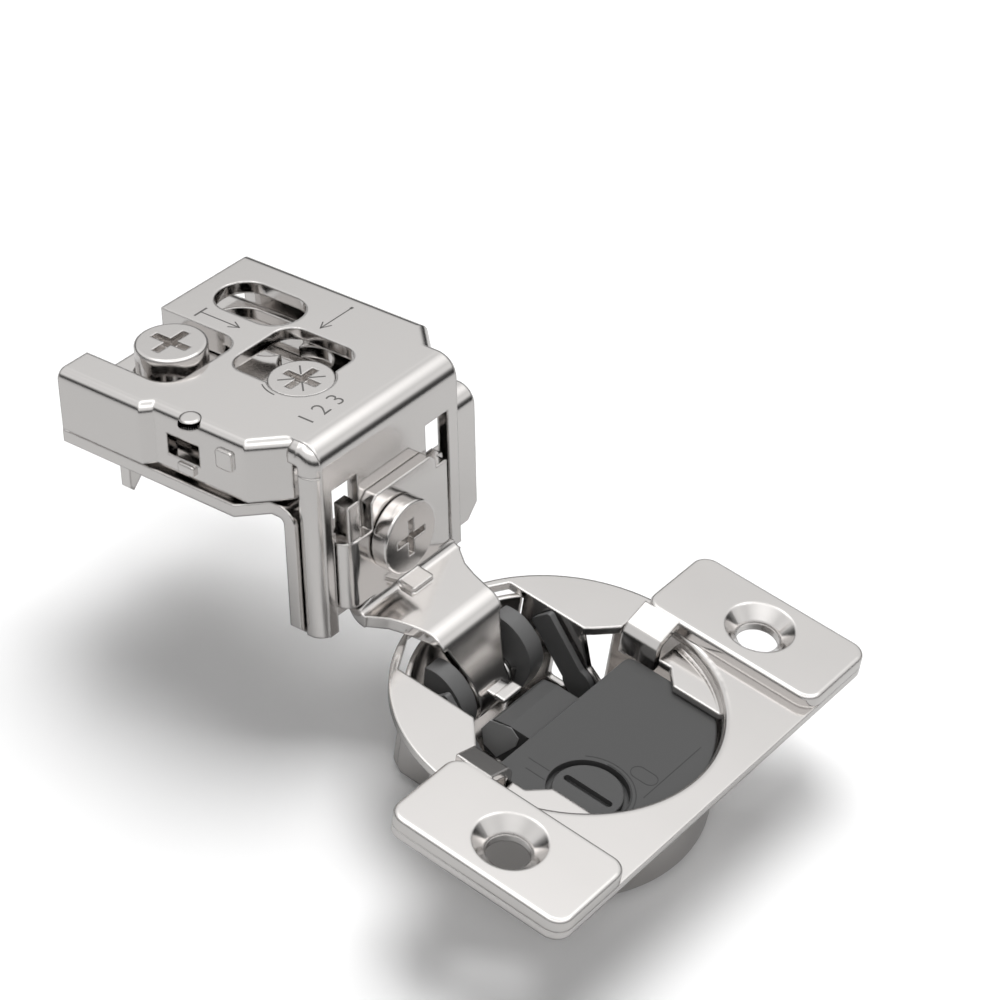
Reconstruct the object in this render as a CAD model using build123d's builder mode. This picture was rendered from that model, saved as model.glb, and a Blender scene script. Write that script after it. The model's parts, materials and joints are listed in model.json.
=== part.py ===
from build123d import *
from math import atan2, cos, degrees, radians, sin, sqrt, tan
import os

# Concealed cup hinge for a face-frame cabinet, drawn standing open.
# Millimetres. The origin is the cup's centre on the door's back face, +Z points out of the door,
# the hinge axis runs along Y, and the cabinet side reaches towards -X. Near is -Y, far is +Y.

# Cup and its flange
cup_r = 17.5
cup_depth = 12.8
cup_wall = 0.6
cup_corner_r = 1.6
flange_t = 1.0
flange_r = 19.2
flange_front_x = 20.4
cup_seat = 0.1
mouth_round = 0.8
ledge_x = (3.0, 4.6, 6.6)
ledge_y = (13.1, 10.9)
ledge_top_z = -0.5
ledge_t = 0.9

# Wings
wing_t = 1.6
wing_len = 22.6
wing_in_y = 16.6
wing_out_y = 28.2
wing_corner_r = 2.0
wing_edge_round = 0.45
screw_x = 9.5
screw_spacing = 45.0
screw_hole_r = 2.4
countersink_r = 4.0
tongue_x = (-2.1, 2.6)
tongue_y = 12.9
tongue_t = 1.0
tongue_drop = 2.4

# Axle and the ears that hold it
axle_x = -11.6
axle_z = -5.8
axle_r = 1.3
running_gap = 0.05
ear_y = 9.8
ear_t = 0.8
ear_window_x = (-8.7, -6.2)
ear_window_z = (-8.8, -2.8)
opening_half = 9.8
opening_rear_x = -18.2
opening_front_x = tongue_x[0] - 0.2
opening_front_y = 13.0

# Bracket on the frame side: its own upright frame starts at the sharp outer corner
tilt = 9.916
corner_x = -27.83
corner_z = 24.872
sheet = 1.5
bend_r = 2.6
top_len = 33.0
leg_len = 24.2
leg_half = 12.4
leg_round = 1.1
leg_flange = 2.4
skirt_half = 15.2
skirt_near_half = 16.3
skirt_step_x = 20.6
skirt_depth = 7.4
skirt_round = 1.2
skirt_chamfer_x = 7.1
skirt_front_x = 3.6

# Height and depth slides
slide_gap = 0.1
slide_drop = 3.2
slide_front_x = skirt_chamfer_x + sheet * tan(radians(22.5)) + 0.4
slide_rear_x = 32.6
height_travel = 1.2
depth_travel = 3.0
base_top = 7.9
base_len = 33.5
base_half = 15.9
base_leg_y = (-13.1, 17.5)
base_leg_x = 2.6
base_leg_len = 24.9
base_bend_r = 2.2
base_corner = 1.7
base_neck_x = 8.6
frame_screw_x = 16.2
frame_screw_y = 4.0
frame_screw_r = 1.9

clamp_x = 25.4
clamp_y = -6.3
clamp_head_r = 4.05
clamp_head_top = 1.5
clamp_shank_r = 2.0
clamp_nut_r = 3.4
clamp_rivet_r = 2.8
clamp_tip_gap = 0.5
notch_y = (-11.6, 0.2)
notch_front_x = clamp_x - clamp_head_r - 0.45
lip_depth = 3.0

cam_x = 10.8
cam_y = -1.7
cam_head_r = 3.7
cam_flange_r = 4.5
cam_flange_t = 0.9
cam_offset = 1.4
cam_pin_r = 1.2
cam_pin_gap = 0.15

# Arm
arm_t = 1.5
arm_top_drop = 8.7
arm_half = 5.4
arm_lip_half = 8.2
neck_z = 2.6
neck_bend_r = 1.6
curl_r = 2.2
curl_half = 5.0
eye_half = 2.6
plate_gap = 0.05
guide_y = 7.8
guide_r = 1.85
guide_top = 12.8
guide_end = 21.2
lip_start = 21.2

# Side adjustment screw
side_y = -1.7
side_drop = 14.8
side_head_r = 4.3
side_head_t = 2.1
side_shank_r = 1.6
side_cam_r = 2.4
side_cam_offset = 2.2
side_cam_gap = 0.2
side_rivet_r = 3.0
side_rivet_t = 0.7

# Damper
damper_front_x = -0.3
damper_half = 12.3
damper_corner_r = 1.2
damper_gap = 0.3
damper_top = -1.5
cover_t = 1.5
cover_round = 0.2
plunger_half = 4.4
plunger_x = (-7.3, 3.0)
plunger_z = (-8.7, -3.2)
plunger_gap = 0.15
plunger_travel = 5.3
cylinder_r = 2.3
cylinder_bore_r = 1.6
cylinder_x = (8.6, 15.5)
rod_r = 0.8
rod_z = -6.0
knob_x = 8.9
knob_y = -7.6
knob_r = 3.9
knob_slot = 6.2
knob_shaft_r = 1.5
knob_shaft_len = 2.0
knob_recess = 0.9
knob_sink = 0.05
knob_gap = 0.6

# Cams and levers beside the arm
cheek_y = (4.75, 7.1)
cheek_low_r = 3.2
cheek_high_r = 6.6
lever_y = (8.7, 9.5)
lever_pivot = (-4.2, -6.0)
lever_tip = (-10.3, 0.1)
lever_half = 1.5
lever_knuckle_r = 1.9
trunnion_r = 0.95
spring_wire_r = 0.3
spring_turns = 1.75
spring_leg = 1.5

floor_z = -cup_depth + cup_wall
mouth_r = cup_r - cup_wall
bracket = Plane(
    origin=(corner_x, 0, corner_z),
    x_dir=(cos(radians(tilt)), 0, sin(radians(tilt))),
    z_dir=(-sin(radians(tilt)), 0, cos(radians(tilt))),
)
bracket_up = Axis((0, 0, 0), bracket.z_dir)
bracket_forward = Axis((0, 0, 0), bracket.x_dir)


def on_bracket(plane):
    """A plane given in the bracket's own upright frame, placed in the hinge's frame."""
    return Plane(bracket * plane)


def from_bracket(forward, up):
    """Hinge-frame x and z of a point given in the bracket's upright frame."""
    point = bracket.from_local_coords(Vector(forward, 0, up))
    return point.X, point.Z


def cross_shape(size):
    """Cross of a screw recess in the sketch that is being drawn."""
    Rectangle(size, size * 0.2)
    Rectangle(size * 0.2, size)


def at_y(y):
    """Plane of constant y with local coordinates (x, z)."""
    return Plane(origin=(0, y, 0), x_dir=(1, 0, 0), z_dir=(0, -1, 0))


def mirrored(points):
    """Close a half outline, given on the +y side, with its mirror image."""
    return points + [(x, -y) for x, y in reversed(points)]


def save(builder, name):
    """Label a finished piece and write it."""
    builder.part.label = name
    export_step(builder.part, f"parts/{name}.step")


os.makedirs("parts", exist_ok=True)

# Cup shell: a drawn can, open on both sides of the axle housing, with ledges turned in over the damper
ledge_outline = [
    (ledge_x[0], cup_r),
    (ledge_x[0], ledge_y[0]),
    (ledge_x[1], ledge_y[0]),
    (ledge_x[2], ledge_y[1]),
    (cup_r, ledge_y[1]),
    (cup_r, cup_r),
]
with BuildPart() as cup_shell:
    with BuildSketch(Plane.XY.offset(cup_seat)):
        Circle(cup_r)
    extrude(amount=-cup_seat - cup_depth)
    fillet(cup_shell.edges().sort_by(Axis.Z)[0], cup_corner_r)
    offset(amount=-cup_wall, openings=cup_shell.faces().sort_by(Axis.Z)[-1])
    for side in (-1, 1):
        with BuildSketch(Plane.XY.offset(cup_seat)):
            with Locations((-cup_r, side * (ear_y + 0.15 + cup_r / 2))):
                Rectangle(2 * (cup_r - 5.0), cup_r)
        extrude(amount=-cup_seat - cup_depth, mode=Mode.SUBTRACT)
        with BuildSketch(Plane.XY.offset(ledge_top_z)):
            Polygon(*[(x, side * y) for x, y in ledge_outline], align=None)
            Circle(cup_r - cup_wall / 2, mode=Mode.INTERSECT)
        extrude(amount=-ledge_t)
save(cup_shell, "cup_shell")

# Flange plate: round flange with strips under the wings, the arm's opening and ears bent down beside it
arm_opening = mirrored([
    (opening_rear_x, 4.7),
    (-15.5, opening_half),
    (-5.1, opening_half),
    (-4.3, opening_half + 0.8),
    (opening_front_x, opening_front_y),
    (opening_front_x + 0.2, opening_front_y),
])
ear_outline = [
    (-13.4, 0.4),
    (-5.5, 0.4),
    (-3.8, -4.2),
    (-1.4, -6.0),
    (-1.4, floor_z),
    (-12.8, floor_z),
    (-13.4, floor_z + 0.7),
]
with BuildPart() as flange_plate:
    with BuildSketch():
        Circle(flange_r)
        with Locations((flange_front_x - wing_len / 2, 0)):
            RectangleRounded(wing_len, 2 * wing_out_y, wing_corner_r)
    extrude(amount=flange_t)
    with BuildSketch():
        Circle(mouth_r)
        with Locations((opening_front_x - mouth_r, 0)):
            Rectangle(2 * mouth_r, 2 * mouth_r, mode=Mode.SUBTRACT)
        Polygon(*arm_opening, align=None)
    extrude(amount=flange_t, mode=Mode.SUBTRACT)
    mouth_edges = flange_plate.edges().filter_by(GeomType.CIRCLE).filter_by(
        lambda e: abs(e.radius - mouth_r) < 0.01 and e.center().Z > flange_t - 0.01)
    fillet(mouth_edges, mouth_round)
    # Ring groove that the cup's rim stands in
    with BuildSketch():
        Circle(cup_r)
        Circle(mouth_r, mode=Mode.SUBTRACT)
    extrude(amount=cup_seat, mode=Mode.SUBTRACT)
    for side in (-1, 1):
        with BuildSketch(at_y(side * ear_y)):
            Polygon(*ear_outline, align=None)
            with Locations((axle_x, axle_z)):
                Circle(axle_r, mode=Mode.SUBTRACT)
            with Locations(lever_pivot):
                Circle(trunnion_r + running_gap, mode=Mode.SUBTRACT)
            with Locations((sum(ear_window_x) / 2, sum(ear_window_z) / 2)):
                RectangleRounded(
                    ear_window_x[1] - ear_window_x[0],
                    ear_window_z[1] - ear_window_z[0],
                    0.4,
                    mode=Mode.SUBTRACT,
                )
        extrude(amount=-side * ear_t)
    with Locations(*[(screw_x, side * screw_spacing / 2, flange_t) for side in (-1, 1)]):
        Hole(screw_hole_r)
save(flange_plate, "flange_plate")

# Wing plates: thick plates on the flange's strips, each with a tongue turned down into the mouth
for side, name in ((-1, "wing_plate_near"), (1, "wing_plate_far")):
    wing_mid_y = side * (wing_in_y + wing_out_y) / 2
    tongue = [
        (side * (wing_in_y + 0.2), flange_t + wing_t),
        (side * (tongue_y + 0.7), flange_t + 0.6),
        (side * tongue_y, flange_t - 0.4),
        (side * tongue_y, -tongue_drop),
        (side * (tongue_y + tongue_t), -tongue_drop),
        (side * (tongue_y + tongue_t), flange_t - 0.6),
        (side * (tongue_y + 1.4), flange_t - 0.2),
        (side * (wing_in_y + 0.2), flange_t + wing_t - tongue_t),
    ]
    with BuildPart() as wing_plate:
        with BuildSketch(Plane.XY.offset(flange_t)):
            with Locations((flange_front_x - wing_len / 2, wing_mid_y)):
                RectangleRounded(wing_len, wing_out_y - wing_in_y, wing_corner_r)
        extrude(amount=wing_t)
        fillet(wing_plate.faces().sort_by(Axis.Z)[-1].edges(), wing_edge_round)
        with BuildSketch(Plane.YZ.offset(tongue_x[0])):
            Polygon(*tongue, align=None)
        extrude(amount=tongue_x[1] - tongue_x[0])
        with Locations((screw_x, side * screw_spacing / 2, flange_t + wing_t)):
            CounterSinkHole(screw_hole_r, countersink_r, counter_sink_angle=90)
    save(wing_plate, name)

# Hinge pin through both ears and the arm's eye
with BuildPart() as hinge_pin:
    with BuildSketch(at_y(ear_y + ear_t)):
        with Locations((axle_x, axle_z)):
            Circle(axle_r)
    extrude(amount=2 * (ear_y + ear_t))
save(hinge_pin, "hinge_pin")

# Torsion springs on the pin, between the eye and the cams
spring_r = axle_r + 0.3 + spring_wire_r
spring_pitch = 2 * spring_wire_r + 0.04
for side, name in ((-1, "torsion_spring_near"), (1, "torsion_spring_far")):
    start_y = side * (eye_half + 0.1 + spring_wire_r)
    with BuildPart() as torsion_spring:
        with BuildLine():
            coil = Helix(
                spring_pitch,
                spring_pitch * spring_turns,
                spring_r,
                center=(axle_x, start_y, axle_z),
                direction=(0, side, 0),
                lefthand=side > 0,
            )
            Line(coil @ 1, coil @ 1 + (coil % 1) * spring_leg)
        with BuildSketch(Plane(origin=coil @ 0, z_dir=coil % 0)):
            Circle(spring_wire_r)
        sweep(transition=Transition.ROUND)
    save(torsion_spring, name)

# Damper housing: moulded body with pockets for the plunger and the cylinder
damper_bottom = floor_z
cover_bottom = damper_top - cover_t
damper_r = mouth_r - damper_gap


def damper_plan():
    """Plan of the damper: straight front and sides, rounded back that follows the cup."""
    Circle(damper_r)
    with Locations((damper_front_x - damper_r, 0)):
        Rectangle(2 * damper_r, 2 * damper_r, mode=Mode.SUBTRACT)
    for edge in (-1, 1):
        with Locations((0, edge * (damper_half + damper_r))):
            Rectangle(2 * damper_r, 2 * damper_r, mode=Mode.SUBTRACT)


with BuildPart() as damper_housing:
    with BuildSketch(Plane.XY.offset(cover_bottom)):
        damper_plan()
    extrude(amount=damper_bottom - cover_bottom)
    fillet(damper_housing.edges().filter_by(Axis.Z).sort_by(Axis.X)[:2], damper_corner_r)
    fillet(damper_housing.faces().sort_by(Axis.Z)[0].edges(), cup_corner_r - cup_wall)
    pocket_x = plunger_x[1] + plunger_travel + 0.2
    with BuildSketch(Plane.XY.offset(cover_bottom)):
        with Locations(((pocket_x + damper_front_x) / 2, 0)):
            Rectangle(pocket_x - damper_front_x, 2 * (plunger_half + plunger_gap))
    extrude(amount=plunger_z[0] - plunger_gap - cover_bottom, mode=Mode.SUBTRACT)
    with BuildSketch(Plane.YZ.offset(pocket_x - 0.1)):
        with Locations((0, rod_z)):
            Circle(cylinder_r)
    extrude(amount=cylinder_x[1] - pocket_x + 0.1, mode=Mode.SUBTRACT)
    with Locations((knob_x, knob_y, cover_bottom)):
        Hole(knob_shaft_r + running_gap, depth=knob_shaft_len)
save(damper_housing, "damper_housing")

# Damper cover: flat top with the switch's recess
with BuildPart() as damper_cover:
    with BuildSketch(Plane.XY.offset(cover_bottom)):
        damper_plan()
    extrude(amount=cover_t)
    fillet(damper_cover.edges().filter_by(Axis.Z).sort_by(Axis.X)[:2], damper_corner_r)
    fillet(damper_cover.faces().sort_by(Axis.Z)[-1].edges(), cover_round)
    with Locations((knob_x, knob_y, damper_top)):
        CounterBoreHole(knob_shaft_r + running_gap, knob_r + knob_gap, knob_recess)
save(damper_cover, "damper_cover")

# Rotary switch with a screwdriver slot
with BuildPart() as damper_switch:
    with BuildSketch(Plane.XY.offset(damper_top - knob_recess + 0.03)):
        with Locations((knob_x, knob_y)):
            Circle(knob_r)
    extrude(amount=knob_recess - knob_sink - 0.03)
    fillet(damper_switch.faces().sort_by(Axis.Z)[-1].edges(), 0.2)
    with BuildSketch(Plane.XY.offset(damper_top - knob_sink)):
        with Locations((knob_x, knob_y)):
            SlotOverall(knob_slot, 0.9)
    extrude(amount=-0.7, mode=Mode.SUBTRACT)
    with BuildSketch(Plane.XY.offset(damper_top - knob_recess + 0.03)):
        with Locations((knob_x, knob_y)):
            Circle(knob_shaft_r)
    extrude(amount=-knob_shaft_len)
save(damper_switch, "damper_switch")

# Fluid cylinder of the damper
with BuildPart() as damper_cylinder:
    with BuildSketch(Plane.YZ.offset(cylinder_x[0])):
        with Locations((0, rod_z)):
            Circle(cylinder_r)
    extrude(amount=cylinder_x[1] - cylinder_x[0])
    with BuildSketch(Plane.YZ.offset(cylinder_x[0] + 0.5)):
        with Locations((0, rod_z)):
            Circle(cylinder_bore_r)
    extrude(amount=cylinder_x[1] - cylinder_x[0] - 0.9, mode=Mode.SUBTRACT)
    with BuildSketch(Plane.YZ.offset(cylinder_x[0])):
        with Locations((0, rod_z)):
            Circle(rod_r + running_gap)
    extrude(amount=0.5, mode=Mode.SUBTRACT)
save(damper_cylinder, "damper_cylinder")

# Plunger with a bevelled nose, and its piston rod
with BuildPart() as damper_plunger:
    with BuildSketch(at_y(plunger_half)):
        Polygon(
            (plunger_x[0] + 0.8, plunger_z[0]),
            (plunger_x[0], plunger_z[0] + 2.7),
            (plunger_x[0] + 1.4, plunger_z[1] - 0.4),
            (plunger_x[0] + 3.4, plunger_z[1]),
            (plunger_x[1], plunger_z[1]),
            (plunger_x[1], plunger_z[0]),
            align=None,
        )
    extrude(amount=2 * plunger_half)
    fillet(damper_plunger.edges().filter_by(Axis.Y).sort_by(Axis.Z)[-3:].sort_by(Axis.X)[:2], 0.8)
save(damper_plunger, "damper_plunger")

piston_x = cylinder_x[0] + 0.65
with BuildPart() as damper_rod:
    with BuildSketch(Plane.YZ.offset(plunger_x[1])):
        with Locations((0, rod_z)):
            Circle(rod_r)
    extrude(amount=piston_x - plunger_x[1])
    with BuildSketch(Plane.YZ.offset(piston_x)):
        with Locations((0, rod_z)):
            Circle(cylinder_bore_r - running_gap)
    extrude(amount=0.5)
save(damper_rod, "damper_rod")

# Cams beside the eye: their radius grows evenly with the angle that the arm turns


def cam_radius(angle):
    """Radius of the cam at an angle in degrees above the +X direction."""
    share = min(max(angle, 0), 100) / 100
    return cheek_low_r + (cheek_high_r - cheek_low_r) * share


for side, name in ((-1, "cam_cheek_near"), (1, "cam_cheek_far")):
    face_y = cheek_y[1] if side > 0 else -cheek_y[0]
    with BuildPart() as cam_cheek:
        with BuildSketch(at_y(face_y)):
            with BuildLine():
                curve = Spline(*[
                    (
                        axle_x + cam_radius(a) * cos(radians(a)),
                        axle_z + cam_radius(a) * sin(radians(a)),
                    )
                    for a in range(-50, 111, 20)
                ])
                back = Line(curve @ 1, (axle_x - 1.9, axle_z))
                heel = Line(back @ 1, (axle_x - 0.4, axle_z - 2.4))
                Line(heel @ 1, curve @ 0)
            make_face()
            with Locations((axle_x, axle_z)):
                Circle(2.2)
                Circle(axle_r + running_gap, mode=Mode.SUBTRACT)
        extrude(amount=cheek_y[1] - cheek_y[0])
    save(cam_cheek, name)

# Closing levers: a bar on each side, rocking on a trunnion in the ear
lever_len = sqrt((lever_tip[0] - lever_pivot[0]) ** 2 + (lever_tip[1] - lever_pivot[1]) ** 2)
lever_angle = degrees(atan2(lever_tip[1] - lever_pivot[1], lever_tip[0] - lever_pivot[0]))
for side, name in ((-1, "closing_lever_near"), (1, "closing_lever_far")):
    face_y = lever_y[1] if side > 0 else -lever_y[0]
    with BuildPart() as closing_lever:
        with BuildSketch(at_y(face_y)):
            with Locations(Location((lever_pivot[0], lever_pivot[1], 0), (0, 0, lever_angle))):
                with Locations((lever_len / 2, 0)):
                    RectangleRounded(lever_len, 2 * lever_half, 0.4)
            with Locations(lever_pivot):
                Circle(lever_knuckle_r)
        extrude(amount=lever_y[1] - lever_y[0])
        with BuildSketch(at_y(side * lever_y[1])):
            with Locations(lever_pivot):
                Circle(trunnion_r)
        extrude(amount=-side * (ear_y + ear_t - lever_y[1]))
    save(closing_lever, name)

# Arm: one sheet from the plate on the leg, over the rim and round the pin
eye_mid_r = axle_r + running_gap + arm_t / 2
plate_mid = plate_gap + arm_t / 2
arm_start = from_bracket(plate_mid, -arm_top_drop)
lip_rise = (corner_z + plate_mid * sin(radians(tilt)) - neck_z) / cos(radians(tilt))
arm_corner = from_bracket(plate_mid, -lip_rise)
curl_tangent = 31.7
tangent_point = (
    axle_x + eye_mid_r * cos(radians(curl_tangent)),
    axle_z + eye_mid_r * sin(radians(curl_tangent)),
)
run_up = (neck_z - tangent_point[1]) / cos(radians(curl_tangent))
curl_corner = (tangent_point[0] - run_up * sin(radians(curl_tangent)), neck_z)
with BuildPart() as hinge_arm:
    with BuildSketch(Plane.XZ):
        with BuildLine():
            FilletPolyline(arm_start, arm_corner, curl_corner, tangent_point, radius=(neck_bend_r, curl_r))
            CenterArc((axle_x, axle_z), eye_mid_r, curl_tangent, -250)
        trace(line_width=arm_t)
    extrude(amount=arm_lip_half, both=True)
    for side in (-1, 1):
        with BuildSketch(Plane.XY.offset(neck_z - 3.5)):
            Polygon(
                (-21.6, side * (arm_lip_half + 1)),
                (-21.6, side * (arm_lip_half - 0.2)),
                (-19.6, side * 6.5),
                (-17.7, side * 5.8),
                (-15.6, side * 5.3),
                (-12.0, side * curl_half),
                (-8.0, side * curl_half),
                (-8.0, side * (arm_lip_half + 1)),
                align=None,
            )
        extrude(amount=5.5, mode=Mode.SUBTRACT)
        with BuildSketch(Plane.YZ.offset(-16.0)):
            Polygon(
                (side * (arm_lip_half + 1), 1.9),
                (side * 4.6, 1.9),
                (side * 4.3, 1.3),
                (side * eye_half, axle_z + 2.9),
                (side * eye_half, axle_z - 4.0),
                (side * (arm_lip_half + 1), axle_z - 4.0),
                align=None,
            )
        extrude(amount=9.0, mode=Mode.SUBTRACT)
        with BuildSketch(on_bracket(Plane.YZ.offset(-0.5))):
            Polygon(
                (side * (arm_lip_half + 1), -arm_top_drop + 1),
                (side * (arm_half - 0.8), -arm_top_drop + 1),
                (side * (arm_half - 0.8), -arm_top_drop),
                (side * arm_half, -arm_top_drop - 0.8),
                (side * arm_half, -lip_start),
                (side * (arm_lip_half + 1), -lip_start - 0.6),
                align=None,
            )
        extrude(amount=3.0, mode=Mode.SUBTRACT)
    with BuildSketch(on_bracket(Plane.XY.offset(-guide_end))):
        with Locations((-0.3, -guide_y)):
            Circle(guide_r)
        with Locations((-2.4, -guide_y)):
            Rectangle(2.0, 2 * guide_r + 1, mode=Mode.SUBTRACT)
        with Locations((plate_mid, -(guide_y + arm_half) / 2)):
            Rectangle(arm_t, guide_y - arm_half)
    extrude(amount=guide_end - guide_top)
    with BuildSketch(on_bracket(Plane.XY.offset(-guide_top))):
        with Locations((0.3, -guide_y - 0.2)):
            Rectangle(2.0, 1.7)
    extrude(amount=guide_top - 8.2)
    with BuildSketch(on_bracket(Plane.XY.offset(-guide_end))):
        with Locations((-0.45, 7.0)):
            Rectangle(1.5, 2.2)
        with Locations((plate_mid, 6.3)):
            Rectangle(arm_t, 2.0)
    extrude(amount=guide_end - 10.5)
    with BuildSketch(on_bracket(Plane.YZ)):
        with Locations((side_y, -side_drop)):
            Circle(side_shank_r + running_gap)
    extrude(amount=3.0, mode=Mode.SUBTRACT)
    with BuildSketch(Plane.XY.offset(neck_z)):
        with Locations((-21.6, 0.2)):
            RectangleRounded(2.4, 3.4, 0.3)
    extrude(amount=arm_t / 2 + 0.6)
save(hinge_arm, "hinge_arm")

# Side adjustment screw: head in front of the arm, eccentric in the leg's slot, rivet behind
head_back = plate_gap + arm_t + slide_gap
with BuildPart() as side_screw:
    with BuildSketch(on_bracket(Plane.YZ.offset(head_back))):
        with Locations((side_y, -side_drop)):
            Circle(side_head_r)
    extrude(amount=side_head_t)
    fillet(side_screw.edges().filter_by(GeomType.CIRCLE), 0.25)
    with BuildSketch(on_bracket(Plane.YZ.offset(head_back + side_head_t))):
        with Locations((side_y, -side_drop)):
            cross_shape(4.6)
    extrude(amount=-1.1, mode=Mode.SUBTRACT)
    with BuildSketch(on_bracket(Plane.YZ.offset(head_back))):
        with Locations((side_y, -side_drop)):
            Circle(side_shank_r)
    extrude(amount=-head_back)
    with BuildSketch(on_bracket(Plane.YZ)):
        with Locations((side_y + side_cam_offset, -side_drop)):
            Circle(side_cam_r)
    extrude(amount=-sheet - slide_gap)
    with BuildSketch(on_bracket(Plane.YZ.offset(-sheet - slide_gap))):
        with Locations((side_y, -side_drop)):
            Circle(side_rivet_r)
    extrude(amount=-side_rivet_t)
save(side_screw, "side_screw")

# Adjust plate: top plate with a skirt on both sides, and the leg


def skirt_outline(inset, front):
    """Outline of the top plate's pan, moved in by the inset and open to the front."""
    side = skirt_half - inset
    near = -(skirt_near_half - inset)
    turn_x = -skirt_chamfer_x - inset * tan(radians(22.5))
    front_half = skirt_half - (skirt_chamfer_x - skirt_front_x) - inset * sqrt(2)
    return [
        (-top_len - inset, side),
        (turn_x, side),
        (-skirt_front_x, front_half),
        (front, front_half),
        (front, -front_half),
        (-skirt_front_x, -front_half),
        (turn_x, -side),
        (-skirt_step_x + 0.5 - inset, -side),
        (-skirt_step_x - 0.5 - inset, near),
        (-top_len - inset, near),
    ]


with BuildPart() as adjust_plate:
    with BuildSketch(on_bracket(Plane.XY)):
        Polygon(*skirt_outline(0, -skirt_front_x), align=None)
    extrude(amount=-skirt_depth)
    top_edges = adjust_plate.faces().sort_by(bracket_up)[-1].edges()
    fillet(top_edges.sort_by(bracket_forward)[1:-1], skirt_round)
    with BuildSketch(on_bracket(Plane.XY.offset(-sheet))):
        Polygon(*skirt_outline(sheet, 1.0), align=None)
    extrude(amount=-skirt_depth, mode=Mode.SUBTRACT)
    # The leg, its side flanges and the bend to the top plate
    with BuildSketch(on_bracket(Plane.XZ)):
        with BuildLine():
            FilletPolyline(
                (-skirt_front_x - 2.0, -sheet / 2),
                (-sheet / 2, -sheet / 2),
                (-sheet / 2, -leg_len),
                radius=bend_r - sheet / 2,
            )
        trace(line_width=sheet)
    extrude(amount=leg_half - leg_round, both=True)
    for side in (-1, 1):
        with BuildSketch(on_bracket(Plane.XY.offset(-bend_r - 1.0))):
            with BuildLine():
                FilletPolyline(
                    (-sheet / 2, side * (leg_half - 3.0)),
                    (-sheet / 2, side * (leg_half - sheet / 2)),
                    (-leg_flange, side * (leg_half - sheet / 2)),
                    radius=leg_round,
                )
            trace(line_width=sheet)
        extrude(amount=-(leg_len - bend_r - 1.0))
    # Windows in the leg, open at the bottom, and the cam's slot between them
    with BuildSketch(on_bracket(Plane.YZ)):
        for low_y, high_y in ((-9.9, -5.7), (5.7, 9.6)):
            with Locations(((low_y + high_y) / 2, -5.9 - leg_len / 2)):
                Rectangle(high_y - low_y, leg_len)
        with Locations((0, -guide_end - 5)):
            Rectangle(2 * 9.6, 10)
    extrude(amount=-2 * sheet, mode=Mode.SUBTRACT)
    with BuildSketch(on_bracket(Plane.YZ)):
        with Locations((side_y + 0.75 * side_cam_offset, -side_drop)):
            SlotCenterToCenter(0.6 * side_cam_offset, 2 * (side_cam_r + side_cam_gap))
    extrude(amount=-2 * sheet, mode=Mode.SUBTRACT)
    # Holes in the top plate: long hole, height screw's hole and the notch for the clamp screw
    with BuildSketch(on_bracket(Plane.XY)):
        with Locations((-24.7, 7.4)):
            SlotOverall(11.4, 6.8)
        with Locations((-14.0, 0.7)):
            RectangleRounded(10.7, 10.6, 2.4)
        with Locations((-cam_x, cam_y)):
            Circle(cam_head_r + running_gap)
        with Locations((-notch_front_x - top_len / 2, (notch_y[0] + notch_y[1]) / 2)):
            RectangleRounded(top_len, notch_y[1] - notch_y[0], 2.8)
    extrude(amount=-2 * sheet, mode=Mode.SUBTRACT)
    # Folded lip along the notch
    with BuildSketch(on_bracket(Plane.XY)):
        with Locations((-(notch_front_x + 2.9 + top_len) / 2, notch_y[1] + sheet / 2)):
            Rectangle(top_len - notch_front_x - 2.9, sheet)
    extrude(amount=-lip_depth)
    # Window and small square boss in the near skirt
    with BuildSketch(on_bracket(Plane.XZ.offset(skirt_half))):
        with Locations((-16.0, -4.2)):
            Rectangle(4.6, 2.6)
    extrude(amount=-2 * sheet, mode=Mode.SUBTRACT)
    with BuildSketch(on_bracket(Plane.XZ.offset(skirt_half))):
        with Locations((-9.9, -3.0)):
            RectangleRounded(2.2, 2.3, 0.3)
    extrude(amount=0.35)
save(adjust_plate, "adjust_plate")

# Slide plate: channel under the top plate, moved across by the height screw
slide_half = skirt_half - sheet - height_travel - slide_gap
slide_leg_y = slide_half - sheet / 2
clamp_slot_x = clamp_x + depth_travel / 2
with BuildPart() as slide_plate:
    with BuildSketch(on_bracket(Plane.YZ.offset(-slide_rear_x))):
        with BuildLine():
            FilletPolyline(
                (-slide_leg_y, -base_top + slide_gap),
                (-slide_leg_y, -slide_drop - sheet / 2),
                (slide_leg_y, -slide_drop - sheet / 2),
                (slide_leg_y, -base_top + slide_gap),
                radius=1.2,
            )
        trace(line_width=sheet)
    extrude(amount=slide_rear_x - slide_front_x)
    with BuildSketch(on_bracket(Plane.XY)):
        with Locations((-24.9, 6.4)):
            SlotOverall(12.4, 7.6)
        with Locations((-16.2, 5.0)):
            Circle(3.1)
        with Locations((-clamp_slot_x, clamp_y)):
            SlotCenterToCenter(depth_travel + 0.2, 2 * (clamp_shank_r + 0.1))
        with Locations((-cam_x - 0.75 * cam_offset, cam_y)):
            SlotCenterToCenter(0.6 * cam_offset, 2 * (cam_pin_r + cam_pin_gap))
    extrude(amount=-slide_drop - sheet - 0.3, mode=Mode.SUBTRACT)
save(slide_plate, "slide_plate")

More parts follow.
